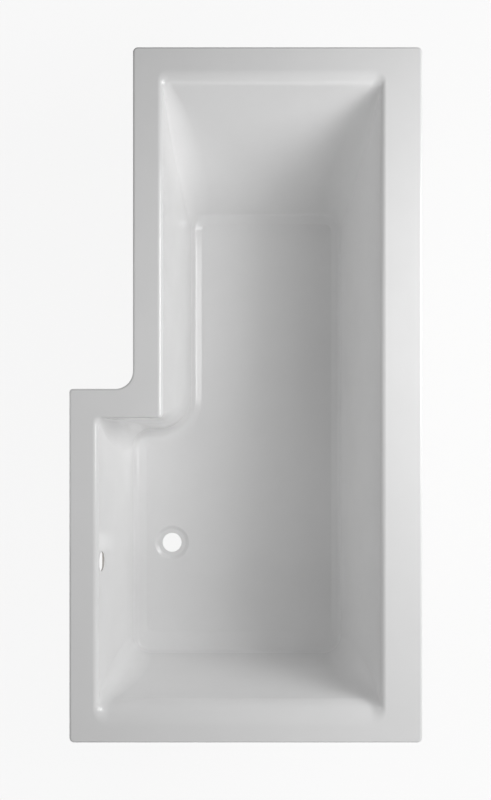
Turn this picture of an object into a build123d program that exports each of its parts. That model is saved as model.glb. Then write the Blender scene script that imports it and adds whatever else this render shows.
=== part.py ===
from build123d import *
from math import atan, cos, pi, radians, sin, sqrt, tan
import os

os.makedirs("parts", exist_ok=True)

# L-shaped shower bath, in millimetres. Seen from above, +X is the long wall side and +Y the
# head end. The feet stand on Z = 0, under the middle of the rim's outline.

# Outline of the rim
bath_length = 1675.0
bath_width = 850.0
step_width = 153.0
wide_length = 852.0
rim_height = 550.0
skirt_depth = 40.0
outer_corner_radius = 12.0
step_corner_radius = 8.0
step_hollow_radius = 43.0
rim_edge_radius = 6.0

# Flat width of the rim along each side of the well
wall_rim = 85.0
front_rim = 70.0
step_rim = 70.0
head_rim = 73.0
foot_rim = 75.0

# The well: how far each wall leans in on its way down, its roll at the rim and its cove at
# the floor
well_depth = 400.0
wall_run, wall_roll, wall_cove = 81.0, 12.0, 32.0
front_run, front_roll, front_cove = 69.0, 10.0, 22.0
step_run, step_roll, step_cove = 100.0, 8.0, 40.0
head_run, head_roll, head_cove = 279.0, 32.0, 26.0
foot_run, foot_roll, foot_cove = 72.0, 40.0, 52.0

# Upright corners of the well: tight at the rim and growing to the floor
rim_corner_radius = 9.0
floor_corner_radius = 48.0
step_rim_radius = 10.0
step_floor_flat = 10.0
least_corner_radius = 1.0
curve_steps = 8
steepest_step = 84.0

# Materials of the moulding
acrylic_thickness = 4.0
laminate_thickness = 3.0
least_roll = 1.5

# Waste and overflow holes
waste_radius = 26.0
waste_dish_radius = 47.0
waste_dish_depth = 6.0
waste_dish_flat = 6.0
waste_from_front = 221.0
waste_from_foot = 431.0
overflow_radius = 24.0
overflow_depth = 42.0
hole_cutter_length = 40.0

# Base board under the floor and the laminate round it
board_thickness = 16.0
board_margin = 14.0
board_waste_clearance = 8.0
board_laminate_thickness = 2.0

# Battens under the rim
batten_thickness = 18.0
batten_gap = 2.0
batten_end_gap = 4.0

# Folded steel rails across the board
rail_width = 50.0
rail_height = 30.0
rail_thickness = 2.0
rail_bend_radius = 2.5
rail_end = 26.0
head_rail_from_head = 505.0
middle_rail_from_step = 245.0
foot_rail_from_foot = 277.0
rail_screw_count = 4
rail_screw_inset = 50.0
rail_screw_radius = 2.2
rail_screw_length = 15.0
rail_screw_head_radius = 4.5
rail_screw_head_height = 2.6
rail_screw_clearance = 0.4
screw_recess_width = 1.1

# Legs: a threaded rod that turns in a weld nut and in the socket of its foot
leg_from_floor = 55.0
rod_radius = 6.0
rod_above_rail = 62.0
rod_running_clearance = 0.05
rod_hole_clearance = 0.6
rod_chamfer = 1.0
nut_across_flats = 19.0
weld_nut_height = 10.0
lock_nut_height = 6.0
rod_nut_height = 8.0
rod_nut_gap = 1.0
nut_chamfer = 0.8
foot_radius = 32.0
foot_plate = 6.0
foot_hub_radius = 13.0
foot_height = 34.0
foot_collar_radius = 10.0
foot_socket_depth = 24.0
foot_rib_thickness = 4.0
foot_rib_count = 6
foot_rib_height = 20.0
foot_rib_bite = 3.0
foot_edge_radius = 2.0

# Brackets that tie the wall batten to the wall
bracket_width = 60.0
bracket_thickness = 2.5
bracket_foot = 34.0
bracket_drop = 72.0
bracket_bend_radius = 4.0
bracket_from_skirt = 3.0
bracket_from_end = 420.0
bracket_hole_radius = 3.0
bracket_hole_spacing = 34.0
bracket_hole_drop = 56.0
bracket_screw_radius = 2.0
bracket_screw_length = 15.0
bracket_screw_head_radius = 4.0
bracket_screw_head_height = 2.4
bracket_screw_clearance = 0.4

# Edges of the outline and of the opening, worked out from the widths above
wall_x = bath_width / 2
wide_x = -bath_width / 2
narrow_x = wide_x + step_width
head_y = bath_length / 2
foot_y = -bath_length / 2
step_y = foot_y + wide_length
step_floor_radius = step_width - floor_corner_radius - step_floor_flat
rim_under = rim_height - acrylic_thickness
floor_top = rim_height - well_depth
floor_under = floor_top - acrylic_thickness - laminate_thickness
board_under = floor_under - board_thickness
rail_top = board_under - board_laminate_thickness
rail_under_web = rail_top - rail_thickness


class WellSide:
    """One side of the well: where its opening edge runs, and which way is into the well."""

    def __init__(self, edge, inward, run, roll, cove):
        self.edge, self.inward = edge, inward
        self.run, self.roll, self.cove = run, roll, cove
        self.turn = pi / 2 - atan(run / well_depth)

    def bend(self, skin, depth):
        """How far the roll and the cove hold the surface away from the leaning wall."""
        roll = max(self.roll - skin, least_roll)
        cove = self.cove + skin
        half = tan(self.turn / 2)
        line = self.run * depth / well_depth
        if depth < roll * (1 - cos(self.turn)):
            return -roll * half + sqrt(roll**2 - (roll - depth) ** 2) - line
        rise = well_depth - depth
        if rise < cove * (1 - cos(self.turn)):
            return self.run + cove * half - sqrt(cove**2 - (cove - rise) ** 2) - line
        return 0.0

    def reach(self, skin, depth):
        """How far the surface has come into the well, skin millimetres behind its face."""
        lean = self.run * depth / well_depth
        return lean + self.bend(skin, depth) - skin * tan(self.turn / 2)

    def at(self, skin, depth):
        return self.edge + self.inward * self.reach(skin, depth)


wall = WellSide(wall_x - wall_rim, -1, wall_run, wall_roll, wall_cove)
narrow = WellSide(narrow_x + front_rim, 1, front_run, front_roll, front_cove)
wide = WellSide(wide_x + front_rim, 1, front_run, front_roll, front_cove)
head = WellSide(head_y - head_rim, -1, head_run, head_roll, head_cove)
step = WellSide(step_y - step_rim, -1, step_run, step_roll, step_cove)
foot = WellSide(foot_y + foot_rim, 1, foot_run, foot_roll, foot_cove)

# Corners of the L in order round the well, each where two sides meet
inner_corner = (narrow, step)
corners = [(wall, head), (narrow, head), inner_corner, (wide, step), (wide, foot), (wall, foot)]


def outline(sides_x, sides_y, radii, height):
    """Face bounded by a closed L at one height, its six corners in order round the bath."""
    wall_side, narrow_side, wide_side = sides_x
    head_side, step_side, foot_side = sides_y
    points = [
        (wall_side, head_side),
        (narrow_side, head_side),
        (narrow_side, step_side),
        (wide_side, step_side),
        (wide_side, foot_side),
        (wall_side, foot_side),
    ]
    with BuildSketch(Plane.XY.offset(height)) as face:
        with BuildLine():
            FilletPolyline(*points, radius=radii, close=True)
        make_face()
    return face.sketch


def rim_outline(inset, height):
    """The rim's outline, drawn in by inset."""
    outer = outer_corner_radius - inset
    return outline(
        (wall_x - inset, narrow_x + inset, wide_x + inset),
        (head_y - inset, step_y - inset, foot_y + inset),
        [outer, outer, step_hollow_radius + inset, step_corner_radius - inset, outer, outer],
        height,
    )


def well_radii(skin, depth):
    """Corner radii of the well at one depth, skin millimetres behind its face."""
    share = depth / well_depth
    radii = []
    for pair in corners:
        bend = sum(side.bend(skin, depth) for side in pair) / 2
        if pair == inner_corner:
            radius = step_rim_radius + share * (step_floor_radius - step_rim_radius) + bend - skin
        else:
            radius = rim_corner_radius + share * (floor_corner_radius - rim_corner_radius)
            radius = radius - bend + skin
        radii.append(max(radius, least_corner_radius))
    return radii


def well_outline(skin, depth):
    """The well's outline at one depth, skin millimetres behind its face."""
    return outline(
        [side.at(skin, depth) for side in (wall, narrow, wide)],
        [side.at(skin, depth) for side in (head, step, foot)],
        well_radii(skin, depth),
        rim_height - skin - depth,
    )


def well_depths(skin):
    """Depths of the well's outlines, close together over the rolls and the coves."""
    sides = (wall, narrow, wide, head, step, foot)
    roll = max(side.roll for side in sides)
    cove = max(side.cove for side in sides) + skin
    falls = [1 - cos(radians(steepest_step * i / curve_steps)) for i in range(curve_steps + 1)]
    return [roll * fall for fall in falls] + [well_depth - cove * fall for fall in reversed(falls)]


def well_form(skin):
    """Solid that fills the well, grown by skin millimetres behind its face."""
    with BuildPart() as form:
        loft([well_outline(skin, depth) for depth in well_depths(skin)], ruled=True)
    return form.part


def waste_dish(skin):
    """The shallow dish round the waste hole, grown by skin."""
    with BuildPart() as dish:
        with BuildSketch(Plane.XY.offset(floor_top - skin)):
            with Locations(waste_place):
                Circle(waste_dish_radius + skin)
        with BuildSketch(Plane.XY.offset(floor_top - waste_dish_depth - skin)):
            with Locations(waste_place):
                Circle(waste_radius + waste_dish_flat + skin)
        loft()
    return dish.part


# Where the waste and overflow holes are; the overflow is square to the sloping wall
waste_place = (wide_x + waste_from_front, foot_y + waste_from_foot)
overflow_turn = wide.turn
overflow_plane = Plane(
    origin=(wide.at(0, overflow_depth), waste_place[1], rim_height - overflow_depth),
    x_dir=(0, 1, 0),
    z_dir=(sin(overflow_turn), 0, cos(overflow_turn)),
)
backing_skin = acrylic_thickness + laminate_thickness

well_face = well_form(0)
acrylic_back = well_form(acrylic_thickness)
laminate_back = well_form(backing_skin)


# Acrylic shell: one moulding with its rim, turned-down skirt and well
with BuildPart() as bath_shell:
    extrude(rim_outline(0, rim_height - skirt_depth), amount=skirt_depth)
    fillet(bath_shell.edges().group_by(Axis.Z)[-1], radius=rim_edge_radius)
    extrude(
        rim_outline(acrylic_thickness, rim_height - skirt_depth),
        amount=skirt_depth - acrylic_thickness,
        mode=Mode.SUBTRACT,
    )
    add(acrylic_back)
    add(waste_dish(acrylic_thickness))
    add(well_face, mode=Mode.SUBTRACT)
    add(waste_dish(0), mode=Mode.SUBTRACT)
    with Locations((*waste_place, floor_top)):
        Cylinder(waste_radius, hole_cutter_length, mode=Mode.SUBTRACT)
    with Locations(overflow_plane):
        Cylinder(overflow_radius, hole_cutter_length, mode=Mode.SUBTRACT)
bath_shell.part.label = "bath_shell"
export_step(bath_shell.part, "parts/bath_shell.step")

# Glass fibre and resin over the whole back of the acrylic
with BuildPart() as glass_fibre_backing:
    extrude(rim_outline(acrylic_thickness, rim_under - laminate_thickness), amount=laminate_thickness)
    add(laminate_back)
    add(waste_dish(backing_skin))
    add(acrylic_back, mode=Mode.SUBTRACT)
    add(waste_dish(acrylic_thickness), mode=Mode.SUBTRACT)
    with Locations((*waste_place, floor_top)):
        Cylinder(waste_radius, hole_cutter_length, mode=Mode.SUBTRACT)
    with Locations(overflow_plane):
        Cylinder(overflow_radius, hole_cutter_length, mode=Mode.SUBTRACT)
glass_fibre_backing.part.label = "glass_fibre_backing"
export_step(glass_fibre_backing.part, "parts/glass_fibre_backing.step")


# Base board: chipboard inside the flat of the floor, open round the waste
def board_at(side, grow):
    """Edge of the board along one side, grown outwards."""
    return side.at(backing_skin, well_depth) + side.inward * (board_margin - grow)


def board_block(grow, low, high):
    """The board's shape between two heights, grown all round, with its notch for the waste."""
    radii = well_radii(backing_skin, well_depth)
    drawn_in = board_margin - grow
    board_radii = [
        radius + drawn_in if pair == inner_corner else max(radius - drawn_in, least_corner_radius)
        for pair, radius in zip(corners, radii)
    ]
    notch = waste_dish_radius + backing_skin + board_waste_clearance - grow
    with BuildPart() as block:
        board = outline(
            [board_at(side, grow) for side in (wall, narrow, wide)],
            [board_at(side, grow) for side in (head, step, foot)],
            board_radii,
            low,
        )
        extrude(board, amount=high - low)
        with BuildSketch(Plane.XY.offset(low)):
            with Locations(waste_place):
                Circle(notch)
                Rectangle(bath_width, 2 * notch, align=(Align.MAX, Align.CENTER))
        extrude(amount=high - low, mode=Mode.SUBTRACT)
    return block.part


# Rails: distance of each along the bath, and the side of the well that its front end is under
rails = {
    "head": (head_y - head_rail_from_head, narrow),
    "middle": (step_y - middle_rail_from_step, wide),
    "foot": (foot_y + foot_rail_from_foot, wide),
}


def leg_x(side):
    """Legs stand a little outside the edge of the floor."""
    return side.edge + side.inward * (side.run - leg_from_floor)


legs = {}
rail_screw_places = []
for name, (rail_y, front) in rails.items():
    legs[name + "_front"] = (leg_x(front), rail_y)
    legs[name + "_wall"] = (leg_x(wall), rail_y)
    first = board_at(front, 0) + rail_screw_inset
    last = board_at(wall, 0) - rail_screw_inset
    for i in range(rail_screw_count):
        rail_screw_places.append((first + (last - first) * i / (rail_screw_count - 1), rail_y))


def shanks(places, under, radius, length):
    """Upright round bars, one at each place: the shanks of screws, and the holes for them."""
    with BuildPart() as bars:
        with Locations(*[(x, y, under) for x, y in places]):
            Cylinder(radius, length, align=(Align.CENTER, Align.CENTER, Align.MIN))
    return bars.part


rail_screw_shanks = shanks(
    rail_screw_places, rail_under_web, rail_screw_radius, rail_screw_length
)

with BuildPart() as base_board:
    add(board_block(0, board_under, floor_under))
    add(rail_screw_shanks, mode=Mode.SUBTRACT)
base_board.part.label = "base_board"
export_step(base_board.part, "parts/base_board.step")

# Glass fibre tray that wraps the board's underside and edges
with BuildPart() as board_laminate:
    add(board_block(board_laminate_thickness, rail_top, floor_under))
    add(board_block(0, board_under, floor_under), mode=Mode.SUBTRACT)
    add(rail_screw_shanks, mode=Mode.SUBTRACT)
board_laminate.part.label = "board_laminate"
export_step(board_laminate.part, "parts/board_laminate.step")


# Timber battens, butted round the rim between the skirt and the back of the well
def rim_room(side):
    """Inner edge of a batten, just clear of the roll behind the well's opening."""
    return side.at(backing_skin, 0) - side.inward * batten_gap


skirt_room = acrylic_thickness + batten_gap
end_room = outer_corner_radius + batten_gap
head_room, foot_room = head_y - skirt_room, foot_y + skirt_room
batten_top = rim_under - laminate_thickness
batten_under = batten_top - batten_thickness
batten_spans = {
    "head_batten": (narrow_x + end_room, wall_x - end_room, rim_room(head), head_room),
    "foot_batten": (wide_x + end_room, wall_x - end_room, foot_room, rim_room(foot)),
    "wall_batten": (
        rim_room(wall),
        wall_x - skirt_room,
        rim_room(foot) + batten_end_gap,
        rim_room(head) - batten_end_gap,
    ),
    "narrow_side_batten": (
        narrow_x + skirt_room,
        rim_room(narrow),
        step_y - skirt_room + batten_end_gap,
        rim_room(head) - batten_end_gap,
    ),
    "step_batten": (
        wide_x + step_corner_radius + batten_gap,
        rim_room(narrow),
        rim_room(step),
        step_y - skirt_room,
    ),
    "wide_side_batten": (
        wide_x + skirt_room,
        rim_room(wide),
        rim_room(foot) + batten_end_gap,
        rim_room(step) - batten_end_gap,
    ),
}

# Wall brackets stand this far along the bath, with two screws each up into the wall batten
bracket_face = wall_x - acrylic_thickness - bracket_from_skirt
brackets = {
    "wall_bracket_head": head_y - bracket_from_end,
    "wall_bracket_foot": foot_y + bracket_from_end,
}
bracket_screw_places = [
    (bracket_face - bracket_foot / 2, bracket_y + shift * bracket_hole_spacing / 2)
    for bracket_y in brackets.values()
    for shift in (-1, 1)
]
bracket_under = batten_under - bracket_thickness
bracket_screw_shanks = shanks(
    bracket_screw_places, bracket_under, bracket_screw_radius, bracket_screw_length
)

for name, (left, right, low, high) in batten_spans.items():
    with BuildPart() as batten:
        with BuildSketch(Plane.XY.offset(batten_under)):
            with Locations(((left + right) / 2, (low + high) / 2)):
                Rectangle(right - left, high - low)
        extrude(amount=batten_thickness)
        if name == "wall_batten":
            add(bracket_screw_shanks, mode=Mode.SUBTRACT)
    batten.part.label = name
    export_step(batten.part, f"parts/{name}.step")


# Rails: channels folded from steel strip, open below, with a hole at each end for the leg
def rail_block(left, right, rail_y, inset):
    """A rail's outer form, or the hollow inside it where inset is the strip's thickness."""
    with BuildPart() as block:
        with BuildSketch(Plane.XY.offset(rail_top - rail_height)):
            with Locations(((left + right) / 2, rail_y)):
                Rectangle(right - left, rail_width - 2 * inset)
        extrude(amount=rail_height - inset)
        top_edges = block.edges().filter_by(Axis.X).group_by(Axis.Z)[-1]
        fillet(top_edges, radius=rail_bend_radius + rail_thickness - inset)
    return block.part


for name, (rail_y, front) in rails.items():
    left = leg_x(front) - rail_end
    right = leg_x(wall) + rail_end
    with BuildPart() as rail:
        add(rail_block(left, right, rail_y, 0))
        add(rail_block(left, right, rail_y, rail_thickness), mode=Mode.SUBTRACT)
        with Locations((leg_x(front), rail_y, rail_top), (leg_x(wall), rail_y, rail_top)):
            Hole(rod_radius + rod_hole_clearance, depth=rail_height)
        with Locations(*[(x, y, rail_top) for x, y in rail_screw_places if y == rail_y]):
            Hole(rail_screw_radius + rail_screw_clearance, depth=rail_height)
    rail.part.label = name + "_rail"
    export_step(rail.part, f"parts/{name}_rail.step")


def pan_head_screws(screw_shanks, places, under, head_radius, head_height):
    """Screws driven upwards, their heads below one face, with a cross recess in each head."""
    with BuildPart() as screws:
        add(screw_shanks)
        with Locations(*[(x, y, under) for x, y in places]):
            Cylinder(head_radius, head_height, align=(Align.CENTER, Align.CENTER, Align.MAX))
        rims = screws.edges().filter_by(GeomType.CIRCLE).group_by(Axis.Z)[0]
        fillet(rims, radius=head_height / 2)
        with BuildSketch(Plane.XY.offset(under - head_height)):
            with Locations(*places):
                Rectangle(head_radius, screw_recess_width)
                Rectangle(screw_recess_width, head_radius)
        extrude(amount=head_height / 2, mode=Mode.SUBTRACT)
    return screws


rail_screws = pan_head_screws(
    rail_screw_shanks,
    rail_screw_places,
    rail_under_web,
    rail_screw_head_radius,
    rail_screw_head_height,
)
rail_screws.part.label = "rail_screws"
export_step(rail_screws.part, "parts/rail_screws.step")


def hexagon_nuts(places, low, height, bore):
    """Hexagon nuts, one at each place, with their corners taken off above and below."""
    with BuildPart() as nuts:
        with BuildSketch(Plane.XY.offset(low)):
            with Locations(*places):
                RegularPolygon(nut_across_flats / 2, 6, major_radius=False)
        extrude(amount=height)
        rims = nuts.edges().group_by(Axis.Z)
        chamfer(rims[0] + rims[-1], length=nut_chamfer)
        with Locations(*[(x, y, low + height) for x, y in places]):
            Hole(bore, depth=height)
    return nuts


weld_nuts = hexagon_nuts(
    list(legs.values()),
    rail_under_web - weld_nut_height,
    weld_nut_height,
    rod_radius + rod_running_clearance,
)
weld_nuts.part.label = "weld_nuts"
export_step(weld_nuts.part, "parts/weld_nuts.step")

lock_nuts = hexagon_nuts(
    list(legs.values()), rail_top, lock_nut_height, rod_radius + rod_running_clearance
)
lock_nuts.part.label = "lock_nuts"
export_step(lock_nuts.part, "parts/lock_nuts.step")

# Legs: each a threaded rod, the nut that turns it and the moulded foot that it turns in
socket_floor = foot_height - foot_socket_depth
rib_root = foot_collar_radius - foot_rib_bite
rib_end = foot_radius - foot_edge_radius - foot_rib_thickness / 2
for name, place in legs.items():
    with BuildPart() as rod:
        with BuildSketch(Plane.XY.offset(socket_floor)):
            with Locations(place):
                Circle(rod_radius)
        extrude(amount=rail_top + rod_above_rail - socket_floor)
        ends = rod.edges().filter_by(GeomType.CIRCLE)
        chamfer(ends, length=rod_chamfer)
    rod.part.label = name + "_rod"
    export_step(rod.part, f"parts/{name}_rod.step")

    rod_nut = hexagon_nuts([place], foot_height + rod_nut_gap, rod_nut_height, rod_radius)
    rod_nut.part.label = name + "_rod_nut"
    export_step(rod_nut.part, f"parts/{name}_rod_nut.step")

    with BuildPart() as leg_foot:
        with BuildSketch():
            with Locations(place):
                Circle(foot_radius)
        extrude(amount=foot_plate)
        fillet(leg_foot.edges().group_by(Axis.Z)[-1], radius=foot_edge_radius)
        with BuildSketch(Plane.XY.offset(foot_plate)):
            with Locations(place):
                Circle(foot_hub_radius)
        with BuildSketch(Plane.XY.offset(foot_height)):
            with Locations(place):
                Circle(foot_collar_radius)
        loft()
        for i in range(foot_rib_count):
            rib_plane = Plane(origin=(*place, 0)).rotated((0, 0, i * 360 / foot_rib_count))
            rib_plane = Plane(origin=(*place, 0), x_dir=rib_plane.x_dir, z_dir=-rib_plane.y_dir)
            with BuildSketch(rib_plane):
                with BuildLine():
                    Polyline(
                        (rib_root, foot_plate - foot_rib_bite),
                        (rib_end, foot_plate - foot_rib_bite),
                        (rib_end, foot_plate),
                        (rib_root, foot_plate + foot_rib_height),
                        close=True,
                    )
                make_face()
            extrude(amount=foot_rib_thickness / 2, both=True)
        with Locations((*place, foot_height)):
            Hole(rod_radius + rod_running_clearance, depth=foot_socket_depth)
    leg_foot.part.label = name + "_foot"
    export_step(leg_foot.part, f"parts/{name}_foot.step")

# Wall brackets: steel plates folded down, screwed up into the wall batten
for name, bracket_y in brackets.items():
    with BuildPart() as bracket:
        with BuildSketch(Plane.XZ.offset(-bracket_y - bracket_width / 2)):
            with BuildLine():
                Polyline(
                    (bracket_face - bracket_foot, batten_under),
                    (bracket_face, batten_under),
                    (bracket_face, batten_under - bracket_drop),
                    (bracket_face - bracket_thickness, batten_under - bracket_drop),
                    (bracket_face - bracket_thickness, bracket_under),
                    (bracket_face - bracket_foot, bracket_under),
                    close=True,
                )
            make_face()
        extrude(amount=bracket_width)
        for x, z, radius in (
            (bracket_face, batten_under, bracket_bend_radius + bracket_thickness),
            (bracket_face - bracket_thickness, bracket_under, bracket_bend_radius),
        ):
            bends = bracket.edges().filter_by(Axis.Y)
            fillet(bends.sort_by_distance((x, bracket_y, z))[0], radius=radius)
        with Locations(*[(x, y, batten_under) for x, y in bracket_screw_places]):
            Hole(bracket_screw_radius + bracket_screw_clearance, depth=bracket_thickness)
        hole_plane = Plane(
            origin=(bracket_face, bracket_y, batten_under - bracket_hole_drop),
            x_dir=(0, 1, 0),
            z_dir=(1, 0, 0),
        )
        with Locations(hole_plane):
            with GridLocations(bracket_hole_spacing, bracket_hole_spacing, 2, 1):
                Hole(bracket_hole_radius, depth=bracket_thickness)
    bracket.part.label = name
    export_step(bracket.part, f"parts/{name}.step")

bracket_screws = pan_head_screws(
    bracket_screw_shanks,
    bracket_screw_places,
    bracket_under,
    bracket_screw_head_radius,
    bracket_screw_head_height,
)
bracket_screws.part.label = "bracket_screws"
export_step(bracket_screws.part, "parts/bracket_screws.step")
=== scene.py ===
import math

import bmesh
import bpy
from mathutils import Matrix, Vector


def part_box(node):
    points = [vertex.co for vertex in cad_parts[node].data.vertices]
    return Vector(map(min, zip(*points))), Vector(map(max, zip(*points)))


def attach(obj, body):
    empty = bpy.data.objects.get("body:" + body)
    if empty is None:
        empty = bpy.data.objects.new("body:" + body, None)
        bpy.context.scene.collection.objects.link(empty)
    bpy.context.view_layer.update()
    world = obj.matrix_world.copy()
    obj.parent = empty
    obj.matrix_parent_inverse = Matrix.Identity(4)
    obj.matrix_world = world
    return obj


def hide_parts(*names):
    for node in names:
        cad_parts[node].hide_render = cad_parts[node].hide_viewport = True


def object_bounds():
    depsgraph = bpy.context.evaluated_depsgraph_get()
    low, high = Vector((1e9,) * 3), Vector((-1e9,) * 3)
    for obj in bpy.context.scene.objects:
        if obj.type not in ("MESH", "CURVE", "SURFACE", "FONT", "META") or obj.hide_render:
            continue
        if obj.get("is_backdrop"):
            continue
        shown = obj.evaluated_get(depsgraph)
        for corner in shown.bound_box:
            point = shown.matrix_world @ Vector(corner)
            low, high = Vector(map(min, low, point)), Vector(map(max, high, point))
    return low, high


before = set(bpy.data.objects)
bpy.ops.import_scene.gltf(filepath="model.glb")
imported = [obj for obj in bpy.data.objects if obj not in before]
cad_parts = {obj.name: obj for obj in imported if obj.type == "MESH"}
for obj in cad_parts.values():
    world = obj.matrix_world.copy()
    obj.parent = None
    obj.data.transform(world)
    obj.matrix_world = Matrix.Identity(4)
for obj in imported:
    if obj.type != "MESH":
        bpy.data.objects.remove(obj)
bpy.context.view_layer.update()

# Bath shell: one sheet of white cast acrylic, softened by heat and drawn by vacuum over a
# mould, so that every edge of it is a soft roll. The rim turns down into a short skirt, and
# the waste and overflow holes are routed out of the finished moulding.
MM = 0.001
RIM_HEIGHT, WELL_DEPTH, SKIRT_DEPTH = 550, 400, 40
WALL_X, NARROW_X, WIDE_X = 425, -272, -425
HEAD_Y, STEP_Y, FOOT_Y = 837.5, 14.5, -837.5
OUTER_RADIUS, HOLLOW_RADIUS, STEP_RADIUS, EDGE_RADIUS = 12, 43, 8, 6
ACRYLIC, LAMINATE = 4, 3
LEAST_ROLL, LEAST_RADIUS = 1.5, 1
# Each side of the well: its edge at the rim, which way is into the well, how far the wall
# leans in, the radius of its roll at the rim, and the width and rise of the strip that eases
# it into the floor, with the radii of the turns above and below that strip
SIDES = {
    "wall": (327, -1, 68.5, 14, 24, 7, 14, 14),
    "narrow": (-201, 1, 54, 14, 27.5, 9, 22, 14),
    "wide": (-357, 1, 51, 14, 34, 8.5, 22, 16),
    "head": (760, -1, 266, 44, 25, 7, 14, 18),
    "step": (-55.5, -1, 40, 8, 38, 15, 45, 60),
    "foot": (-746.5, 1, 40, 57, 56, 8, 12, 40),
}
CORNERS = [
    ("wall", "head"), ("narrow", "head"), ("narrow", "step"),
    ("wide", "step"), ("wide", "foot"), ("wall", "foot"),
]
# The well's corners widen from the rim to the floor, and swell on the way down
RIM_CORNER, FLOOR_CORNER, CORNER_SWELL, SWELL_SHAPE, LEAST_FLOOR = 9, 40, 38, 0.6, 14
STEP_RIM_CORNER, STEP_FLOOR_CORNER = 10, 95
FLOOR = RIM_HEIGHT - WELL_DEPTH
WASTE_X, WASTE_Y, WASTE_RADIUS, HOLE_EDGE, EDGE_MIDDLE = -204, -406.5, 26, 1.2, 0.3
DISH_RADIUS, DISH_FLAT, DISH_DEPTH = 49, 9, 6
OVERFLOW_DEPTH, OVERFLOW_RADIUS, DRILL_LENGTH = 42, 24, 40
# How finely the curves are divided, and how the rings crowd together towards the floor
STEEPEST, CURVE_STEPS, CORNER_STEPS, RIM_EDGE_STEPS, DISH_STEPS = math.radians(84), 24, 16, 8, 12
FLOOR_TURNS, TURN_STEPS, TURN_CROWDING, ROUND_STEPS = 60, 72, 1.8, 64
# Beyond these, a side that lies across the bath is the head's or the foot's, not the step's
NEAR_HEAD, NEAR_FOOT = 300, -500
# How near in millimetres counts as level, and how strongly a large face keeps its own normal
SAME, FLAT_WEIGHT = 0.001, 80


def crossing(start, slope, end, end_slope):
    """Where the line from one point at one slope meets the line into another point."""
    along = (math.cos(slope), math.sin(slope))
    into = (math.cos(end_slope), math.sin(end_slope))
    gap = (end[0] - start[0], end[1] - start[1])
    share = (gap[0] * into[1] - gap[1] * into[0]) / (along[0] * into[1] - along[1] * into[0])
    return start[0] + share * along[0], start[1] + share * along[1]


def inside(side, skin, depth):
    """How far into the well a side's section is at a depth, skin behind its face."""
    run, roll, width, rise, top_turn, floor_turn = SIDES[side][2:]
    lean, ease = math.atan2(WELL_DEPTH, run), math.atan2(rise, width)
    rim_corner = (-skin * math.tan(lean / 2), 0)
    floor_corner = (
        run * (WELL_DEPTH - rise) / WELL_DEPTH + width - skin * math.tan(ease / 2), WELL_DEPTH
    )
    bends = [
        (rim_corner, 0, lean, max(roll - skin, LEAST_ROLL)),
        (crossing(rim_corner, lean, floor_corner, ease), lean, ease, top_turn + skin),
        (floor_corner, ease, 0, floor_turn + skin),
    ]
    for (across, down), before, after, radius in bends:
        reach_back = radius * math.tan(abs(after - before) / 2)
        if depth < down - reach_back * math.sin(before):
            return across - (down - depth) / math.tan(before)
        if depth <= down + reach_back * math.sin(after):
            sign = 1 if after > before else -1
            fallen = depth - down + reach_back * math.sin(before)
            slope = math.acos(min(math.cos(before) - sign * fallen / radius, 1))
            start = across - reach_back * math.cos(before)
            return start + sign * radius * (math.sin(slope) - math.sin(before))
    return floor_corner[0] + reach_back


def reach(side, skin, depth):
    """Where one side of the well is at a depth, skin behind its face."""
    edge, inward = SIDES[side][:2]
    return edge + inward * inside(side, skin, depth)


def bend(side, skin, depth):
    """How far the roll or the strip holds a side's surface away from its straight wall."""
    run = SIDES[side][2]
    wall = run * depth / WELL_DEPTH - skin * math.tan(math.atan2(WELL_DEPTH, run) / 2)
    return inside(side, skin, depth) - wall


def l_points(wall, narrow, wide, head, step, foot):
    """The six corners of an L, in order round the bath."""
    return [(wall, head), (narrow, head), (narrow, step), (wide, step), (wide, foot), (wall, foot)]


def well_ring(skin, depth):
    """Corners, corner radii and height of the well's outline at one depth."""
    points = l_points(*[reach(side, skin, depth) for side in SIDES])
    share, radii = depth / WELL_DEPTH, []
    for pair in CORNERS:
        held = sum(bend(side, skin, depth) for side in pair) / 2
        if pair == ("narrow", "step"):
            radius = STEP_RIM_CORNER + share * (STEP_FLOOR_CORNER - STEP_RIM_CORNER) + held - skin
        else:
            swell = CORNER_SWELL * math.sin(math.pi * share) ** SWELL_SHAPE
            radius = RIM_CORNER + share * (FLOOR_CORNER - RIM_CORNER) + swell - held + skin
        radii.append(max(radius, LEAST_RADIUS, LEAST_FLOOR * share))
    return points, radii, RIM_HEIGHT - skin - depth


def rim_ring(inset, height):
    """Corners, corner radii and height of the rim's outline, drawn in by inset."""
    points = l_points(
        WALL_X - inset, NARROW_X + inset, WIDE_X + inset,
        HEAD_Y - inset, STEP_Y - inset, FOOT_Y + inset,
    )
    outer, step = OUTER_RADIUS - inset, STEP_RADIUS - inset
    return points, [outer, outer, HOLLOW_RADIUS + inset, step, outer, outer], height


def deselect():
    """An operator acts on all that is selected, so each piece starts with nothing selected."""
    if bpy.context.object and bpy.context.object.mode != "OBJECT":
        bpy.ops.object.mode_set(mode="OBJECT")
    bpy.ops.object.select_all(action="DESELECT")


def activate(piece):
    """Makes a piece the only one selected, and the active one."""
    deselect()
    piece.select_set(True)
    bpy.context.view_layer.objects.active = piece


def apply_modifier(piece, kind, **settings):
    """Adds a modifier to a piece and applies it."""
    activate(piece)
    modifier = piece.modifiers.new(kind.lower(), kind)
    for name, value in settings.items():
        setattr(modifier, name, value)
    bpy.ops.object.modifier_apply(modifier=modifier.name)


def along_side(edge, number):
    """True for the straight edges of one side of the L, counted from the head round the bath."""
    a, b = [vertex.co / MM for vertex in edge.verts]
    across = 1 if number % 2 == 0 else 0
    if abs(a[across] - b[across]) > SAME or abs(a.z - b.z) > SAME:
        return False
    middle = (a + b) / 2
    if number % 2 == 0:
        return number == (0 if middle.y > NEAR_HEAD else 4 if middle.y < NEAR_FOOT else 2)
    return number == (5 if middle.x > 0 else 1 if middle.y > 0 else 3)


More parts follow.
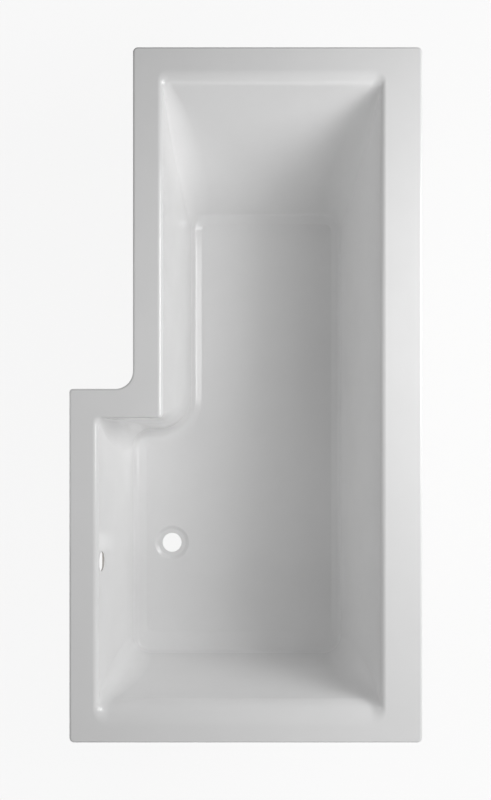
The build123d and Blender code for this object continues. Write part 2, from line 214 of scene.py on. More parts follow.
def l_loft(name, rings, segments, cuts=()):
    """A sheet drawn through L-shaped rings with rounded corners. cuts divides its six sides."""
    deselect()
    bpy.ops.mesh.primitive_circle_add(vertices=6, fill_type="NGON")
    sheet = bpy.context.object
    sheet.name = sheet.data.name = name
    bpy.ops.object.mode_set(mode="EDIT")
    for _ in rings[1:]:
        bpy.ops.mesh.select_all(action="DESELECT")
        bpy.ops.mesh.primitive_circle_add(vertices=6, fill_type="NGON")
    bpy.ops.object.mode_set(mode="OBJECT")
    widest = max(max(ring[1]) for ring in rings)
    weights = sheet.data.attributes.new("bevel_weight_vert", "FLOAT", "POINT")
    for face, (points, radii, height) in zip(sheet.data.polygons, rings):
        for index, (x, y), radius in zip(face.vertices, points, radii):
            sheet.data.vertices[index].co = Vector((x, y, height)) * MM
            weights.data[index].value = radius / widest
    apply_modifier(
        sheet, "BEVEL", affect="VERTICES", limit_method="WEIGHT", width=widest * MM,
        segments=segments, use_clamp_overlap=False,
    )
    bpy.ops.object.mode_set(mode="EDIT")
    bpy.ops.mesh.select_all(action="SELECT")
    bpy.ops.mesh.delete(type="ONLY_FACE")
    bpy.ops.mesh.select_all(action="SELECT")
    bpy.ops.mesh.bridge_edge_loops()
    for side, count in enumerate(cuts):
        bpy.ops.mesh.select_all(action="DESELECT")
        mesh = bmesh.from_edit_mesh(sheet.data)
        for edge in mesh.edges:
            edge.select_set(along_side(edge, side))
        bmesh.update_edit_mesh(sheet.data)
        bpy.ops.mesh.subdivide(number_cuts=count)
    bpy.ops.object.mode_set(mode="OBJECT")
    return sheet


def well_rings(skin, between):
    """Outlines of the well, close together over the rolls and the turns at the floor."""
    roll = max(side[3] for side in SIDES.values())
    upper = [roll * (1 - math.cos(STEEPEST * i / CURVE_STEPS)) for i in range(CURVE_STEPS + 1)]
    lower = [
        WELL_DEPTH - FLOOR_TURNS * (1 - i / TURN_STEPS) ** TURN_CROWDING for i in range(TURN_STEPS + 1)
    ]
    gap = (lower[0] - upper[-1]) / (between + 1)
    middle = [upper[-1] + gap * (i + 1) for i in range(between)]
    return [well_ring(skin, depth) for depth in upper + middle + lower]


def round_loft(name, x, y, rings, steps, filled=False):
    """A sheet drawn through level circles, each with its radius and height, with ends or not."""
    deselect()
    for number, (radius, height) in enumerate(rings):
        if number == 1:
            bpy.ops.object.transform_apply()
            bpy.ops.object.mode_set(mode="EDIT")
        if number:
            bpy.ops.mesh.select_all(action="DESELECT")
        bpy.ops.mesh.primitive_circle_add(
            vertices=steps, radius=radius * MM, fill_type="NOTHING",
            location=(x * MM, y * MM, height * MM),
        )
    bpy.ops.mesh.select_all(action="SELECT")
    bpy.ops.mesh.bridge_edge_loops()
    if filled:
        bpy.ops.mesh.select_all(action="SELECT")
        bpy.ops.mesh.fill_holes(sides=0)
        bpy.ops.mesh.normals_make_consistent(inside=False)
    bpy.ops.object.mode_set(mode="OBJECT")
    sheet = bpy.context.object
    sheet.name = sheet.data.name = name
    return sheet


def join(name, parts):
    """Several meshes as one, with their shared edges merged."""
    activate(parts[0])
    for part in parts:
        part.select_set(True)
    if len(parts) > 1:
        bpy.ops.object.join()
    bpy.ops.object.mode_set(mode="EDIT")
    bpy.ops.mesh.select_all(action="SELECT")
    bpy.ops.mesh.remove_doubles(threshold=MM / 100)
    bpy.ops.object.mode_set(mode="OBJECT")
    parts[0].name = parts[0].data.name = name
    return parts[0]


def fill_level(sheet, height, up):
    """Fills between a sheet's open edges at one height, and turns its faces up or down."""
    activate(sheet)
    bpy.ops.object.mode_set(mode="EDIT")
    bpy.ops.mesh.select_mode(type="EDGE")
    bpy.ops.mesh.select_all(action="DESELECT")
    mesh = bmesh.from_edit_mesh(sheet.data)
    for edge in mesh.edges:
        level = all(abs(vertex.co.z / MM - height) < SAME for vertex in edge.verts)
        edge.select_set(edge.is_boundary and level)
    bmesh.update_edit_mesh(sheet.data)
    bpy.ops.mesh.fill()
    bpy.ops.mesh.select_all(action="SELECT")
    bpy.ops.mesh.normals_make_consistent(inside=False)
    bpy.ops.object.mode_set(mode="OBJECT")
    flat = max(sheet.data.polygons, key=lambda face: abs(face.normal.z) * face.area)
    if (flat.normal.z > 0) != up:
        bpy.ops.object.mode_set(mode="EDIT")
        bpy.ops.mesh.flip_normals()
        bpy.ops.object.mode_set(mode="OBJECT")


def overflow_drill(radius):
    """A round bar square to the sloping wall, where the overflow is."""
    turn = math.pi / 2 - math.atan(SIDES["wide"][2] / WELL_DEPTH)
    centre = Vector((reach("wide", 0, OVERFLOW_DEPTH), WASTE_Y, RIM_HEIGHT - OVERFLOW_DEPTH))
    deselect()
    bpy.ops.mesh.primitive_cylinder_add(
        vertices=ROUND_STEPS, radius=radius * MM, depth=DRILL_LENGTH * MM, rotation=(0, turn, 0),
        location=centre * MM,
    )
    bpy.ops.object.transform_apply()
    return bpy.context.object


def cut(piece, tool, operation="DIFFERENCE"):
    """Cuts a piece with another mesh, which is then taken away."""
    apply_modifier(piece, "BOOLEAN", operation=operation, object=tool, solver="EXACT")
    bpy.data.objects.remove(tool)


def smooth(piece, crease):
    """Smooth faces, crisp at edges over crease degrees, with flats that stay flat up to a curve."""
    activate(piece)
    bpy.ops.object.shade_smooth_by_angle(angle=math.radians(crease))
    apply_modifier(piece, "WEIGHTED_NORMAL", keep_sharp=True, weight=FLAT_WEIGHT)


def dish_rings(skin):
    """The waste's dish: a soft fall from the floor to a flat seat, and the edge of the hole."""
    seat = WASTE_RADIUS + DISH_FLAT
    rings = []
    for i in range(DISH_STEPS + 1):
        share = i / DISH_STEPS
        fall = DISH_DEPTH * (1 - math.cos(math.pi * share)) / 2
        rings.append((DISH_RADIUS + skin + share * (seat - DISH_RADIUS), FLOOR - skin - fall))
    return rings


rim_rings = [rim_ring(0, RIM_HEIGHT - SKIRT_DEPTH)]
for i in range(RIM_EDGE_STEPS + 1):
    turn = math.pi / 2 * i / RIM_EDGE_STEPS
    inset = EDGE_RADIUS * (1 - math.cos(turn))
    rim_rings.append(rim_ring(inset, RIM_HEIGHT - EDGE_RADIUS * (1 - math.sin(turn))))
rim_rings.append(well_ring(0, 0))
hole_rings = [
    (WASTE_RADIUS + HOLE_EDGE, FLOOR - DISH_DEPTH),
    (WASTE_RADIUS + HOLE_EDGE * EDGE_MIDDLE, FLOOR - DISH_DEPTH - HOLE_EDGE * EDGE_MIDDLE),
    (WASTE_RADIUS, FLOOR - DISH_DEPTH - HOLE_EDGE),
]
bath_shell = join("bath_shell_moulding", [
    l_loft("rim", rim_rings, CORNER_STEPS),
    l_loft("well", well_rings(skin=0, between=14), CORNER_STEPS),
    round_loft("dish", WASTE_X, WASTE_Y, dish_rings(0) + hole_rings, ROUND_STEPS),
])
fill_level(bath_shell, FLOOR, up=True)
apply_modifier(
    bath_shell, "SOLIDIFY", thickness=ACRYLIC * MM, offset=-1, use_even_offset=True, use_rim=True
)
cut(bath_shell, overflow_drill(OVERFLOW_RADIUS))
smooth(bath_shell, crease=38)


def linear(hex_colour):
    """An sRGB hex colour as the linear values that Blender works in."""
    values = [int(hex_colour[i : i + 2], 16) / 255 for i in (0, 2, 4)]
    return [v / 12.92 if v <= 0.04045 else ((v + 0.055) / 1.055) ** 2.4 for v in values] + [1]


def add_node(owner, kind, settings=None, links=None):
    """Adds a node, gives it its settings and joins its sockets to other nodes' outputs."""
    node = owner.node_tree.nodes.new(kind)
    for name, value in (settings or {}).items():
        if isinstance(name, int) or name in node.inputs:
            node.inputs[name].default_value = value
        else:
            setattr(node, name, value)
    for name, (source, output) in (links or {}).items():
        owner.node_tree.links.new(source.outputs[output], node.inputs[name])
    return node


def new_material(name):
    """A material whose node tree is still empty."""
    material = bpy.data.materials.new(name)
    material.use_nodes = True
    material.node_tree.nodes.clear()
    return material


def show(material, shader):
    """Joins a shader to the output of its material."""
    add_node(material, "ShaderNodeOutputMaterial", {}, {"Surface": (shader, 0)})
    return material


def dress(piece, material, body):
    """Gives a new piece its material and the body that it moves with."""
    piece.data.materials.clear()
    piece.data.materials.append(material)
    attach(piece, body)


# Vacuum-formed cast acrylic: the plate's polish stays, so reflections are clear, but where the
# sheet was drawn deep its surface has a faint orange peel and its gloss is a little softer.
acrylic = new_material("vacuum_formed_acrylic")
place = add_node(acrylic, "ShaderNodeTexCoord")
clouding = add_node(
    acrylic, "ShaderNodeTexNoise", {"Scale": 1 / 0.11, "Detail": 3}, {"Vector": (place, "Object")}
)
tone = add_node(
    acrylic, "ShaderNodeMix",
    {"data_type": "RGBA", 6: linear("EEEEEE"), 7: linear("F3F3F3")}, {0: (clouding, 0)},
)
gloss = add_node(
    acrylic, "ShaderNodeMapRange",
    {"From Min": 0.3, "From Max": 0.7, "To Min": 0.1, "To Max": 0.16}, {"Value": (clouding, 0)},
)
peel = add_node(
    acrylic, "ShaderNodeTexNoise", {"Scale": 1 / 0.014, "Detail": 1}, {"Vector": (place, "Object")}
)
peel_bump = add_node(
    acrylic, "ShaderNodeBump", {"Strength": 0.25, "Distance": 0.00006}, {"Height": (peel, 0)}
)
show(acrylic, add_node(
    acrylic, "ShaderNodeBsdfPrincipled", {"IOR": 1.49},
    {"Base Color": (tone, 2), "Roughness": (gloss, 0), "Normal": (peel_bump, 0)},
))
dress(bath_shell, acrylic, "bath")
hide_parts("bath_shell")

# Glass fibre backing: polyester resin and chopped strands of glass, sprayed and rolled over the
# whole back of the acrylic to stiffen it. It follows the shell but is lumpy, with loose strands.
BACKING, BACKING_PLAY, TRIMMED_BACK, WASHER_SEAT = ACRYLIC + LAMINATE, 0.1, 4, 11
SIDE_CUTS, COAT_CORNER_STEPS = [30, 46, 7, 36, 36, 90], 12
LUMP_SIZE, LUMP_HEIGHT, LUMP_LEVEL, LUMPS_OVER_FLOOR, LUMPS_UNDER_RIM = 30, 2.4, 0.35, 2, 8
rim_back_rings = [rim_ring(ACRYLIC + BACKING_PLAY, RIM_HEIGHT - BACKING), well_ring(BACKING, 0)]
trimmed_ring = (WASTE_RADIUS + TRIMMED_BACK, FLOOR - BACKING - DISH_DEPTH)
backing = join("glass_fibre_coat", [
    l_loft("rim_back", rim_back_rings, COAT_CORNER_STEPS, SIDE_CUTS),
    l_loft("well_back", well_rings(skin=BACKING, between=24), COAT_CORNER_STEPS, SIDE_CUTS),
    round_loft("dish_back", WASTE_X, WASTE_Y, dish_rings(BACKING) + [trimmed_ring], ROUND_STEPS),
])
fill_level(backing, FLOOR - BACKING, up=False)
lumps = bpy.data.textures.new("laminate_lumps", "CLOUDS")
lumps.noise_scale = LUMP_SIZE * MM
lowest, highest = (FLOOR + LUMPS_OVER_FLOOR) * MM, (RIM_HEIGHT - BACKING - LUMPS_UNDER_RIM) * MM
walls = backing.vertex_groups.new(name="walls")
walls.add([v.index for v in backing.data.vertices if lowest < v.co.z < highest], 1, "REPLACE")
apply_modifier(
    backing, "DISPLACE", texture=lumps, texture_coords="LOCAL", strength=LUMP_HEIGHT * MM,
    mid_level=LUMP_LEVEL, vertex_group="walls",
)
apply_modifier(
    backing, "SOLIDIFY", thickness=(LAMINATE - BACKING_PLAY) * MM, offset=-1, use_rim=True
)
cut(backing, overflow_drill(OVERFLOW_RADIUS + WASHER_SEAT))
smooth(backing, crease=50)

# Sprayed laminate: cured resin is a cloudy cream, and the chopped strands in it lie every way,
# show paler and stand a little proud. They are cut 45 mm long, and are drawn 2.2 mm wide, which
# is coarser than the real 1 mm, so that they show from a few metres away.
STRAND_SIZE = (0.045, 0.0022, 0.0022)
STRAND_TURNS = [
    (0, 0, 0.4), (0.9, 0, 1.7), (0.3, 1.2, 0), (1.5, 0.5, 2.6), (0.2, 2.2, 0.8), (2.5, 0.4, 2.1),
]
glass_fibre = new_material("sprayed_glass_fibre")
place = add_node(glass_fibre, "ShaderNodeTexCoord")
strands = None
for turn in STRAND_TURNS:
    laid = add_node(
        glass_fibre, "ShaderNodeMapping",
        {"vector_type": "TEXTURE", "Rotation": turn, "Scale": STRAND_SIZE},
        {"Vector": (place, "Object")},
    )
    streaks = add_node(
        glass_fibre, "ShaderNodeTexNoise", {"Scale": 1, "Detail": 0}, {"Vector": (laid, 0)}
    )
    strand = add_node(
        glass_fibre, "ShaderNodeMapRange", {"From Min": 0.6, "From Max": 0.7},
        {"Value": (streaks, 0)},
    )
    strands = strand if strands is None else add_node(
        glass_fibre, "ShaderNodeMath", {"operation": "MAXIMUM"}, {0: (strands, 0), 1: (strand, 0)}
    )
pools = add_node(
    glass_fibre, "ShaderNodeTexNoise", {"Scale": 1 / 0.05, "Detail": 4},
    {"Vector": (place, "Object")},
)
resin = add_node(
    glass_fibre, "ShaderNodeMix",
    {"data_type": "RGBA", 6: linear("BDB8A4"), 7: linear("D8D5C8")}, {0: (pools, 0)},
)
laminate = add_node(
    glass_fibre, "ShaderNodeMix",
    {"data_type": "RGBA", 7: linear("E6E4DC")}, {0: (strands, 0), 6: (resin, 2)},
)
proud = add_node(
    glass_fibre, "ShaderNodeBump", {"Strength": 0.7, "Distance": 0.0006}, {"Height": (strands, 0)}
)
rolled = add_node(
    glass_fibre, "ShaderNodeBump", {"Strength": 0.6, "Distance": 0.0015},
    {"Height": (pools, 0), "Normal": (proud, 0)},
)
show(glass_fibre, add_node(
    glass_fibre, "ShaderNodeBsdfPrincipled", {"IOR": 1.55, "Roughness": 0.42},
    {"Base Color": (laminate, 2), "Normal": (rolled, 0)},
))
dress(backing, glass_fibre, "bath")
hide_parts("glass_fibre_backing")

# Base board: 16 mm chipboard under the floor, laid in wet laminate and then sprayed over, so
# that a tray of laminate wraps its underside and its edges and runs up into the backing.
BOARD, BOARD_MARGIN, TRAY, TRAY_SHOULDER, TRAY_FLARE = 16, 14, 2, 5, 6
BOARD_UNDER = FLOOR - BACKING - BOARD
NOTCH_GAP, NOTCH_LENGTH, NOTCH_HEIGHT = 6, 400, 100
NOTCH = DISH_RADIUS + BACKING + NOTCH_GAP - TRAY
TRAY_VOXEL, TRAY_SOFTENING = 6, 3


def board_ring(grow, height):
    """Outline of the board at one height, grown outwards."""
    radii = well_ring(BACKING, WELL_DEPTH)[1]
    drawn_in = BOARD_MARGIN - grow
    edges = [
        reach(side, BACKING, WELL_DEPTH) + SIDES[side][1] * drawn_in for side in SIDES
    ]
    grown = [
        radius + drawn_in if pair == ("narrow", "step") else max(radius - drawn_in, LEAST_RADIUS)
        for pair, radius in zip(CORNERS, radii)
    ]
    return l_points(*edges), grown, height


tray = l_loft("tray", [
    board_ring(0, BOARD_UNDER - TRAY),
    board_ring(TRAY, BOARD_UNDER),
    board_ring(TRAY, FLOOR - BACKING - TRAY_SHOULDER),
    board_ring(TRAY + TRAY_FLARE, FLOOR - BACKING),
], COAT_CORNER_STEPS)
activate(tray)
bpy.ops.object.mode_set(mode="EDIT")
bpy.ops.mesh.select_all(action="SELECT")
bpy.ops.mesh.region_to_loop()
bpy.ops.mesh.edge_face_add()
bpy.ops.mesh.select_all(action="SELECT")
bpy.ops.mesh.normals_make_consistent(inside=False)
bpy.ops.object.mode_set(mode="OBJECT")
deselect()
bpy.ops.mesh.primitive_cube_add(
    size=MM, location=((WASTE_X - NOTCH_LENGTH / 2) * MM, WASTE_Y * MM, FLOOR * MM)
)
bpy.context.object.scale = (NOTCH_LENGTH, 2 * NOTCH, NOTCH_HEIGHT)
bpy.ops.object.transform_apply()
cut(tray, bpy.context.object)
deselect()
bpy.ops.mesh.primitive_cylinder_add(
    vertices=ROUND_STEPS, radius=NOTCH * MM, depth=NOTCH_HEIGHT * MM,
    location=(WASTE_X * MM, WASTE_Y * MM, FLOOR * MM),
)
bpy.ops.object.transform_apply()
cut(tray, bpy.context.object)
apply_modifier(tray, "REMESH", mode="VOXEL", voxel_size=TRAY_VOXEL * MM)
apply_modifier(tray, "SMOOTH", factor=0.5, iterations=TRAY_SOFTENING)
smooth(tray, crease=60)
dress(tray, glass_fibre, "bath")
tray.name = tray.data.name = "board_coat"
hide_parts("board_laminate")

# Chipboard: flakes of wood pressed with glue. Each flake keeps its own tone, and where the
# board is sawn or worn they stand at slightly different heights. Flakes are 4 mm across.
chipboard = new_material("pressed_chipboard")
place = add_node(chipboard, "ShaderNodeTexCoord")
flakes = add_node(
    chipboard, "ShaderNodeTexVoronoi", {"Scale": 1 / 0.004}, {"Vector": (place, "Object")}
)
flake_tone = add_node(chipboard, "ShaderNodeSeparateColor", {}, {0: (flakes, 1)})
wood = add_node(
    chipboard, "ShaderNodeMix",
    {"data_type": "RGBA", 6: linear("9C7B52"), 7: linear("D2B68A")}, {0: (flake_tone, 0)},
)
chip_bump = add_node(
    chipboard, "ShaderNodeBump", {"Strength": 0.5, "Distance": 0.0004}, {"Height": (flakes, 0)}
)
show(chipboard, add_node(
    chipboard, "ShaderNodeBsdfPrincipled", {"Roughness": 0.8, "IOR": 1.5},
    {"Base Color": (wood, 2), "Normal": (chip_bump, 0)},
))


def finish(nodes, material):
    """Gives CAD nodes whose shape is right their material."""
    for node in nodes:
        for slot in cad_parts[node].material_slots:
            slot.material = material


finish(["base_board"], chipboard)

# Battens: planed softwood, bonded under the rim between the skirt and the well to stiffen it
# and to take the bracket screws. The growth rings show as soft stripes along each batten, about
# 9 mm apart, and the plane leaves a fine fibre between them.
GRAIN_LENGTH, GRAIN_WIDTH = 0.35, 0.009


def softwood(name, along_x):
    """Planed softwood with its grain along X, or else along Y."""
    material = new_material(name)
    place = add_node(material, "ShaderNodeTexCoord")
    long, fine = 1 / GRAIN_LENGTH, 1 / GRAIN_WIDTH
    stretch = (long, fine, fine) if along_x else (fine, long, fine)
    laid = add_node(
        material, "ShaderNodeMapping", {"Scale": stretch}, {"Vector": (place, "Object")}
    )
    rings = add_node(
        material, "ShaderNodeTexNoise", {"Scale": 1, "Detail": 3, "Distortion": 0.4},
        {"Vector": (laid, 0)},
    )
    fibres = add_node(
        material, "ShaderNodeTexNoise", {"Scale": 9, "Detail": 2}, {"Vector": (laid, 0)}
    )
    grain = add_node(
        material, "ShaderNodeMapRange", {"From Min": 0.38, "From Max": 0.62}, {"Value": (rings, 0)}
    )
    colour = add_node(
        material, "ShaderNodeMix",
        {"data_type": "RGBA", 6: linear("B98F5C"), 7: linear("DDBE8E")}, {0: (grain, 0)},
    )
    bump = add_node(
        material, "ShaderNodeBump", {"Strength": 0.4, "Distance": 0.0003}, {"Height": (fibres, 0)}
    )
    return show(material, add_node(
        material, "ShaderNodeBsdfPrincipled", {"Roughness": 0.65, "IOR": 1.5},
        {"Base Color": (colour, 2), "Normal": (bump, 0)},
    ))


finish(["head_batten", "foot_batten", "step_batten"], softwood("planed_softwood_across", True))
finish(
    ["wall_batten", "narrow_side_batten", "wide_side_batten"],
    softwood("planed_softwood_along", False),
)

# Rails and wall brackets: strip steel, hot-dip galvanised in the coil and then folded. The
# zinc freezes in spangles about a centimetre across, each a slightly different grey.
galvanised = new_material("galvanised_strip_steel")
place = add_node(galvanised, "ShaderNodeTexCoord")
spangle = add_node(
    galvanised, "ShaderNodeTexVoronoi", {"Scale": 1 / 0.011, "Randomness": 1},
    {"Vector": (place, "Object")},
)
crystal = add_node(galvanised, "ShaderNodeSeparateColor", {}, {0: (spangle, 1)})
zinc_tone = add_node(
    galvanised, "ShaderNodeMix",
    {"data_type": "RGBA", 6: linear("9DA2A5"), 7: linear("C3C7C9")}, {0: (crystal, 0)},
)
zinc_gloss = add_node(
    galvanised, "ShaderNodeMapRange", {"To Min": 0.32, "To Max": 0.52}, {"Value": (crystal, 1)}
)
show(galvanised, add_node(
    galvanised, "ShaderNodeBsdfPrincipled", {"Metallic": 1},
    {"Base Color": (zinc_tone, 2), "Roughness": (zinc_gloss, 0)},
))
finish(
    ["head_rail", "middle_rail", "foot_rail", "wall_bracket_head", "wall_bracket_foot"], galvanised
)

# Bright zinc plate: electroplated over turned and pressed steel, a thin even coat that keeps
# the metal's shine, with a faint mottle where the chromate dip dried.
zinc_plate = new_material("bright_zinc_plate")
place = add_node(zinc_plate, "ShaderNodeTexCoord")
mottle = add_node(
    zinc_plate, "ShaderNodeTexNoise", {"Scale": 1 / 0.006, "Detail": 3},
    {"Vector": (place, "Object")},
)
plate_tone = add_node(
    zinc_plate, "ShaderNodeMix",
    {"data_type": "RGBA", 6: linear("BFC0BA"), 7: linear("D3D5D2")}, {0: (mottle, 0)},
)
plate_gloss = add_node(
    zinc_plate, "ShaderNodeMapRange", {"To Min": 0.2, "To Max": 0.36}, {"Value": (mottle, 0)}
)
show(zinc_plate, add_node(
    zinc_plate, "ShaderNodeBsdfPrincipled", {"Metallic": 1},
    {"Base Color": (plate_tone, 2), "Roughness": (plate_gloss, 0)},
))
finish(["rail_screws", "bracket_screws"], zinc_plate)

# Nuts: M12, hot-forged from hexagon bar and zinc plated, with the corners turned off to a cone.
# A thick one is welded under each end of a rail for the rod to climb in, and a thin one on top
# locks the rod once the bath is level.
ACROSS_FLATS, CONE_RADIUS, CONE_RISE, BORE_CONE = 19, 9, 1.15, 0.8
ROD_RADIUS, RUNNING_GAP = 6, 0.05
BEAD_RADIUS, BEAD_HALF_HEIGHT, BEAD_SEGMENTS, BEAD_RINGS = 1.9, 1, 16, 10
HEXAGON, CONE_STEPS, BORE_STEPS, CONE_SLOPE = 6, 96, 48, math.radians(30)
LEGS = ["head_front", "head_wall", "middle_front", "middle_wall", "foot_front", "foot_wall"]


def hexagon_nut(name, height, bore):
    """One nut on the origin, with corners on X, standing on the floor."""
    half_flat = math.pi / HEXAGON
    deselect()
    bpy.ops.mesh.primitive_cylinder_add(
        vertices=HEXAGON, radius=ACROSS_FLATS / 2 / math.cos(half_flat) * MM, depth=height * MM,
        rotation=(0, 0, half_flat), location=(0, 0, height / 2 * MM),
    )
    bpy.ops.object.transform_apply()
    nut = bpy.context.object
    nut.name = nut.data.name = name
    cone_end = CONE_RADIUS + CONE_RISE / math.tan(CONE_SLOPE)
    cut(nut, round_loft("cone_tool", 0, 0, [
        (CONE_RADIUS, 0), (cone_end, CONE_RISE),
        (cone_end, height - CONE_RISE), (CONE_RADIUS, height),
    ], CONE_STEPS, filled=True), "INTERSECT")
    cut(nut, round_loft("bore_tool", 0, 0, [
        (bore + 2 * BORE_CONE, -BORE_CONE), (bore, BORE_CONE),
        (bore, height - BORE_CONE), (bore + 2 * BORE_CONE, height + BORE_CONE),
    ], BORE_STEPS, filled=True))
    return nut


def placed_copy(piece, name, x, y, z):
    """A copy of a piece with its own mesh, moved from the origin to its place."""
    activate(piece)
    bpy.ops.object.duplicate()
    copy = bpy.context.object
    copy.name = copy.data.name = name
    copy.location = Vector((x, y, z)) * MM
    bpy.ops.object.transform_apply()
    return copy


def leg_place(leg):
    """The middle of a leg's rod, seen from above, in millimetres."""
    low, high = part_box(leg + "_rod")
    return (low[0] + high[0]) / 2 / MM, (low[1] + high[1]) / 2 / MM


for node, name in (("weld_nuts", "welded_rod_nuts"), ("lock_nuts", "thin_lock_nuts")):
    low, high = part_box(node)
    height = (high[2] - low[2]) / MM
    nut = hexagon_nut("nut", height, ROD_RADIUS + RUNNING_GAP)
    if node == "weld_nuts":
        for turn in (0, math.radians(120), math.radians(240)):
            deselect()
            bead_x, bead_y = ACROSS_FLATS / 2 * math.cos(turn), ACROSS_FLATS / 2 * math.sin(turn)
            bpy.ops.mesh.primitive_uv_sphere_add(
                segments=BEAD_SEGMENTS, ring_count=BEAD_RINGS, radius=BEAD_RADIUS * MM,
                location=Vector((bead_x, bead_y, height - BEAD_HALF_HEIGHT)) * MM,
            )
            bpy.context.object.scale.z = BEAD_HALF_HEIGHT / BEAD_RADIUS
            bpy.ops.object.transform_apply()
            cut(nut, bpy.context.object, "UNION")
    nuts = join(name, [
        placed_copy(nut, name, *leg_place(leg), low[2] / MM) for leg in LEGS
    ])
    bpy.data.objects.remove(nut)
    smooth(nuts, crease=30)
    dress(nuts, zinc_plate, "bath")
    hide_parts(node)

# Rods: M12 threaded steel cut to length, with chamfered ends, and a nut run on near the foot
# and fixed there to turn the rod by. The rod climbs in its weld nut and turns in its foot.
PITCH, THREAD_STEPS, THREAD_DEPTH, SPARE_TURNS = 1.75, 24, 0.61, 2
ROD_CHAMFER, CREST_GAP = 1, 0.03
low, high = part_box(LEGS[0] + "_rod")
rod_low, rod_high = low[2] / MM, high[2] / MM
crest = ROD_RADIUS - CREST_GAP
root = crest - THREAD_DEPTH * PITCH
thread = [
    (root, 0), (root, PITCH / 4), (crest, PITCH * 9 / 16), (crest, PITCH * 11 / 16), (root, PITCH),
]
deselect()
bpy.ops.mesh.primitive_circle_add(vertices=len(thread), fill_type="NOTHING")
rod = bpy.context.object
for vertex, (out, up) in zip(rod.data.vertices, thread):
    vertex.co = Vector((out, 0, rod_low - SPARE_TURNS * PITCH + up)) * MM
bpy.ops.object.mode_set(mode="EDIT")
bpy.ops.mesh.select_mode(type="EDGE")
bpy.ops.mesh.select_all(action="DESELECT")
mesh = bmesh.from_edit_mesh(rod.data)
for edge in mesh.edges:
    closing = abs(edge.verts[0].co.z - edge.verts[1].co.z) / MM > PITCH - SAME
    edge.select_set(closing)
bmesh.update_edit_mesh(rod.data)
bpy.ops.mesh.delete(type="EDGE")
bpy.ops.object.mode_set(mode="OBJECT")
apply_modifier(
    rod, "SCREW", screw_offset=PITCH * MM, steps=THREAD_STEPS, render_steps=THREAD_STEPS,
    iterations=math.ceil((rod_high - rod_low) / PITCH) + SPARE_TURNS + 1,
)
join("rod", [rod])
bpy.ops.object.mode_set(mode="EDIT")
bpy.ops.mesh.select_all(action="SELECT")
bpy.ops.mesh.fill_holes(sides=0)
bpy.ops.mesh.normals_make_consistent(inside=False)
bpy.ops.object.mode_set(mode="OBJECT")
cut(rod, round_loft("rod_tool", 0, 0, [
    (ROD_RADIUS - ROD_CHAMFER, rod_low), (ROD_RADIUS, rod_low + ROD_CHAMFER),
    (ROD_RADIUS, rod_high - ROD_CHAMFER), (ROD_RADIUS - ROD_CHAMFER, rod_high),
], ROUND_STEPS, filled=True), "INTERSECT")
smooth(rod, crease=30)
low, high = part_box(LEGS[0] + "_rod_nut")
nut_low = low[2] / MM
nut = hexagon_nut("nut", high[2] / MM - nut_low, ROD_RADIUS)
smooth(nut, crease=30)
for leg in LEGS:
    for piece, name, node, z in (
        (rod, "_threaded_rod", "_rod", 0), (nut, "_turning_nut", "_rod_nut", nut_low),
    ):
        copy = placed_copy(piece, leg + name, *leg_place(leg), z)
        dress(copy, zinc_plate, leg + "_turning_rod")
        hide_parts(leg + node)
bpy.data.objects.remove(rod)
bpy.data.objects.remove(nut)

# Feet: moulded in black glass-filled nylon, each with a ribbed hub that the rod turns in. The
# spark-eroded mould leaves a fine even grain and a satin gloss. The real grain is about 0.2 mm,
# and it is drawn coarser, at 0.9 mm, so that it shows.
nylon = new_material("moulded_black_nylon")
place = add_node(nylon, "ShaderNodeTexCoord")
sparked = add_node(
    nylon, "ShaderNodeTexNoise", {"Scale": 1 / 0.0009, "Detail": 2}, {"Vector": (place, "Object")}
)
nylon_tone = add_node(
    nylon, "ShaderNodeMix",
    {"data_type": "RGBA", 6: linear("17181A"), 7: linear("232427")}, {0: (sparked, 0)},
)
nylon_bump = add_node(
    nylon, "ShaderNodeBump", {"Strength": 0.4, "Distance": 0.00015}, {"Height": (sparked, 0)}
)
show(nylon, add_node(
    nylon, "ShaderNodeBsdfPrincipled", {"Roughness": 0.5, "IOR": 1.53},
    {"Base Color": (nylon_tone, 2), "Normal": (nylon_bump, 0)},
))
finish([leg + "_foot" for leg in LEGS], nylon)

# Studio floor: a pale painted floor under the bath. For the camera and in reflections it is
# nearly all white air, which keeps a little of its paint near the bath, so that the bath's
# shadow shows there, and a foot that a pose lowers through it is still seen.
FLOOR_SIZE, HAZE_NEAR, HAZE_FAR, NEAR_WHITE = 14, 0.9, 4.5, 0.9


def seen_by_eye(owner):
    """The output that is 1 for camera, glossy and transmission rays, and 0 for diffuse ones."""
    ray = add_node(owner, "ShaderNodeLightPath")
    seen = (ray, "Is Camera Ray")
    for kind in ("Is Glossy Ray", "Is Transmission Ray"):
        most = add_node(
            owner, "ShaderNodeMath", {"operation": "MAXIMUM"}, {0: seen, 1: (ray, kind)}
        )
        seen = (most, 0)
    return seen


deselect()
bpy.ops.mesh.primitive_plane_add(size=FLOOR_SIZE)
studio_floor = bpy.context.object
studio_floor.name = "studio_floor"
floor_paint = new_material("pale_studio_floor")
place = add_node(floor_paint, "ShaderNodeTexCoord")
away = add_node(
    floor_paint, "ShaderNodeVectorMath", {"operation": "LENGTH"}, {0: (place, "Object")}
)
haze = add_node(
    floor_paint, "ShaderNodeMapRange",
    {"From Min": HAZE_NEAR, "From Max": HAZE_FAR, "To Min": NEAR_WHITE, "To Max": 1},
    {"Value": (away, "Value")},
)
share = add_node(
    floor_paint, "ShaderNodeMath", {"operation": "MULTIPLY"},
    {0: seen_by_eye(floor_paint), 1: (haze, 0)},
)
paint = add_node(floor_paint, "ShaderNodeBsdfDiffuse", {"Color": linear("F2F2F2")})
clear = add_node(floor_paint, "ShaderNodeBsdfTransparent")
side = add_node(floor_paint, "ShaderNodeNewGeometry")
ray = add_node(floor_paint, "ShaderNodeLightPath")
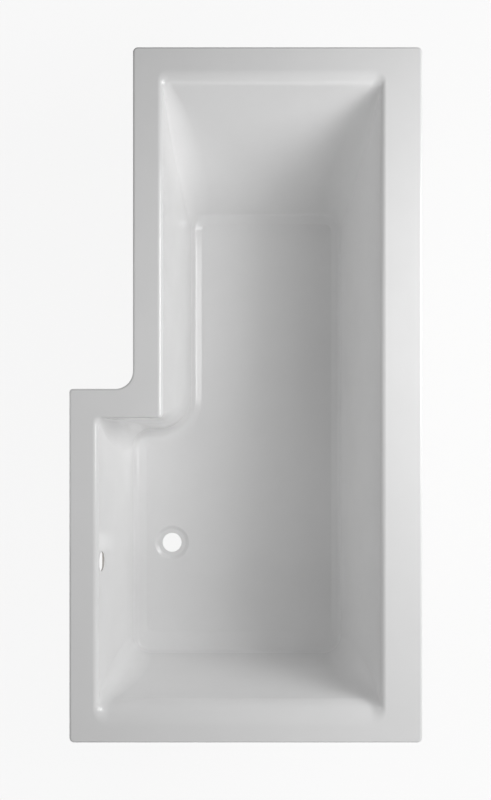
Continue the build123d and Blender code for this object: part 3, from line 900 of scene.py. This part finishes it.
below = add_node(
    floor_paint, "ShaderNodeMath", {"operation": "MULTIPLY"},
    {0: (side, "Backfacing"), 1: (ray, "Is Camera Ray")},
)
through = add_node(
    floor_paint, "ShaderNodeMath", {"operation": "MAXIMUM"}, {0: (share, 0), 1: (below, 0)}
)
show(floor_paint, add_node(
    floor_paint, "ShaderNodeMixShader", {}, {0: (through, 0), 1: (paint, 0), 2: (clear, 0)}
))
studio_floor.data.materials.append(floor_paint)
studio_floor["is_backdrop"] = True

# Studio light: white air that gives a low even fill, and five soft boxes, each aimed at the
# bath. The key stands on the wall side, as the photograph's shadows say, and the others are
# weaker and lift the near wall, the foot and the wide side.
AIR_FILL, AIM_HEIGHT = 0.106, 0.4
world = bpy.data.worlds.new("studio_air")
bpy.context.scene.world = world
world.use_nodes = True
world.node_tree.nodes.clear()
air = add_node(world, "ShaderNodeBackground", {"Color": (1, 1, 1, 1), "Strength": AIR_FILL})
white = add_node(world, "ShaderNodeBackground", {"Color": (1, 1, 1, 1), "Strength": 1})
mixed = add_node(
    world, "ShaderNodeMixShader", {}, {0: seen_by_eye(world), 1: (air, 0), 2: (white, 0)}
)
add_node(world, "ShaderNodeOutputWorld", {}, {"Surface": (mixed, 0)})


def softbox(name, turn, rise, distance, size, power):
    """A square soft light aimed at the bath: angles in degrees, lengths in metres, watts."""
    turn, rise, aim = math.radians(turn), math.radians(rise), Vector((0, 0, AIM_HEIGHT))
    level = math.cos(rise)
    away = Vector((level * math.cos(turn), level * math.sin(turn), math.sin(rise)))
    lamp = bpy.data.lights.new(name, "AREA")
    lamp.size, lamp.energy = size, power
    box = bpy.data.objects.new(name, lamp)
    bpy.context.scene.collection.objects.link(box)
    box.location = aim + away * distance
    box.rotation_euler = away.to_track_quat("Z", "Y").to_euler()
    box.visible_camera = False


softbox("key_light", 8, 36, 3, 1.6, 38.6)
softbox("near_light", 15, 45, 1.5, 0.8, 6.9)
softbox("foot_light", -60, 30, 2.2, 1, 3.8)
softbox("end_light", -90, 30, 2.2, 1, 3)
softbox("left_light", 180, 29, 2.25, 1.2, 8.7)

# Camera: straight above the middle of the bath and looking down through a normal lens, as the
# photograph was taken. Its height gives the photograph's scale at the rim.
LENS, SENSOR, EYE = 50, 36, (-0.0007, -0.0123, 3.222)
camera_data = bpy.data.cameras.new("camera")
camera_data.lens, camera_data.sensor_width = LENS, SENSOR
camera = bpy.data.objects.new("camera", camera_data)
bpy.context.scene.collection.objects.link(camera)
camera.location = EYE
bpy.context.scene.camera = camera
bpy.context.scene.view_settings.view_transform = "Standard"

low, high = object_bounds()
